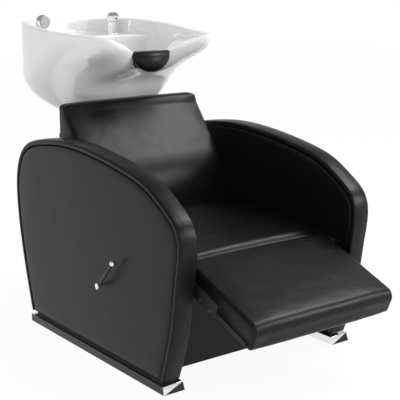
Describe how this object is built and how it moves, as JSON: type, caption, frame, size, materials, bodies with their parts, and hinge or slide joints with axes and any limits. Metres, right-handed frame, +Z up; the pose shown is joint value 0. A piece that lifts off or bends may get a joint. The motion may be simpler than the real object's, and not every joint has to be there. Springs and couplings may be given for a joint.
{
  "type": "hair washing bed",
  "caption": "Upholstered salon wash seat with raised leg rest, padded arms on chrome rails, release lever and a tilting white basin on a pedestal behind the backrest.",
  "frame": {"origin": "centre of the underside of the pedestal's floor plate, on the floor under the basin's tilt pivot", "axes": "+Z up, +Y from the leg rest towards the basin's rear, +X towards the sitter's left arm"},
  "size_m": [0.7371, 1.465, 0.989],
  "materials": {
    "black_leather": "soft satin artificial leather",
    "plywood": "plywood",
    "wrapped_board": "plywood wrapped in black artificial leather",
    "polished_chrome": "polished",
    "black_steel": "black powder coat",
    "zinc_steel": "zinc plated",
    "black_plastic": "moulded",
    "bronze": "turned",
    "grey_rubber": "matt",
    "black_sheet": "satin black sheet steel",
    "grey_plastic": "moulded",
    "white_ceramic": "white gloss glaze",
    "black_rubber": "glossy moulded gel rubber",
    "dot_enamel": "plain warm and cold mark",
    "light_grey_plastic": "moulded spray face",
    "black_hose": "smooth hose",
    "braided_steel": "braided sleeve"
  },
  "bodies": {
    "bed": {"right_foot_rail": "polished_chrome", "left_foot_rail": "polished_chrome", "foot_glides": "black_plastic", "right_arm_core": "plywood", "right_arm_band": "black_leather", "right_outer_pad": "black_leather", "right_inner_pad": "black_leather", "left_arm_core": "plywood", "left_arm_band": "black_leather", "left_outer_pad": "black_leather", "left_inner_pad": "black_leather", "front_cross_rail": "black_steel", "rear_cross_rail": "black_steel", "seat_board": "plywood", "seat_screws": "zinc_steel", "legrest_hinge_blocks": "black_steel", "arm_bolts": "zinc_steel", "front_apron": "wrapped_board", "seat_cushion": "black_leather", "backrest_cushion": "black_leather", "backrest_board": "wrapped_board", "backrest_screws": "zinc_steel", "lever_bush": "bronze", "lever_return_spring": "zinc_steel", "floor_plate": "black_steel", "pedestal_posts": "black_steel", "pivot_bolts": "zinc_steel", "friction_washers": "grey_rubber", "pipe_bracket": "black_steel", "pedestal_shroud": "black_sheet", "access_panel": "black_sheet", "panel_screws": "zinc_steel", "supply_pipes": "zinc_steel", "waste_hose": "grey_plastic"},
    "leg_rest": {"legrest_cushion": "black_leather", "legrest_board": "plywood", "legrest_hinge_plates": "black_steel", "legrest_hinge_pins": "zinc_steel", "legrest_screws": "zinc_steel"},
    "release_lever": {"lever_shaft": "polished_chrome", "lever_rod": "polished_chrome", "lever_knob": "polished_chrome", "lever_crank": "black_steel"},
    "basin_unit": {"basin_cradle": "black_steel", "waste_outlet": "polished_chrome", "waste_strainer": "polished_chrome", "waste_nut": "grey_plastic", "basin": "white_ceramic", "neck_rest": "black_rubber", "mixer_body": "polished_chrome", "tap_nuts": "bronze", "spray_holder": "polished_chrome", "supply_tails": "braided_steel", "spray_hose": "black_hose"},
    "mixer_stem": {"mixer_spindle": "zinc_steel"},
    "mixer_cap": {"mixer_handle": "polished_chrome", "mixer_dot": "dot_enamel"},
    "hand_spray_unit": {"hand_spray": "polished_chrome", "spray_face": "light_grey_plastic", "spray_hose_end": "black_hose"}
  },
  "joints": [
    {"name": "leg_rest_fold", "type": "hinge", "parent": "bed", "child": "leg_rest", "pos_m": [0, -0.828, 0.323], "axis": [1, 0, 0], "range_deg": [-9, 65]},
    {"name": "release_lever_pull", "type": "hinge", "parent": "bed", "child": "release_lever", "pos_m": [-0.373, -0.548, 0.245], "axis": [1, 0, 0], "range_deg": [-25, 0], "stiffness_Nm_per_rad": 2, "springref_deg": 22.92},
    {"name": "basin_tilt", "type": "hinge", "parent": "bed", "child": "basin_unit", "pos_m": [0, 0, 0.61], "axis": [1, 0, 0], "range_deg": [-12, 0]},
    {"name": "mixer_lift", "type": "slide", "parent": "basin_unit", "child": "mixer_stem", "axis": [0, 0, 1], "range_m": [0, 0.006]},
    {"name": "mixer_swivel", "type": "hinge", "parent": "mixer_stem", "child": "mixer_cap", "pos_m": [0.142, 0.164, 0.97], "axis": [0, 0, 1], "range_deg": [-45, 45]},
    {"name": "spray_lift_out", "type": "slide", "parent": "basin_unit", "child": "hand_spray_unit", "axis": [0, 0, 1], "range_m": [0, 0.1]}
  ]
}
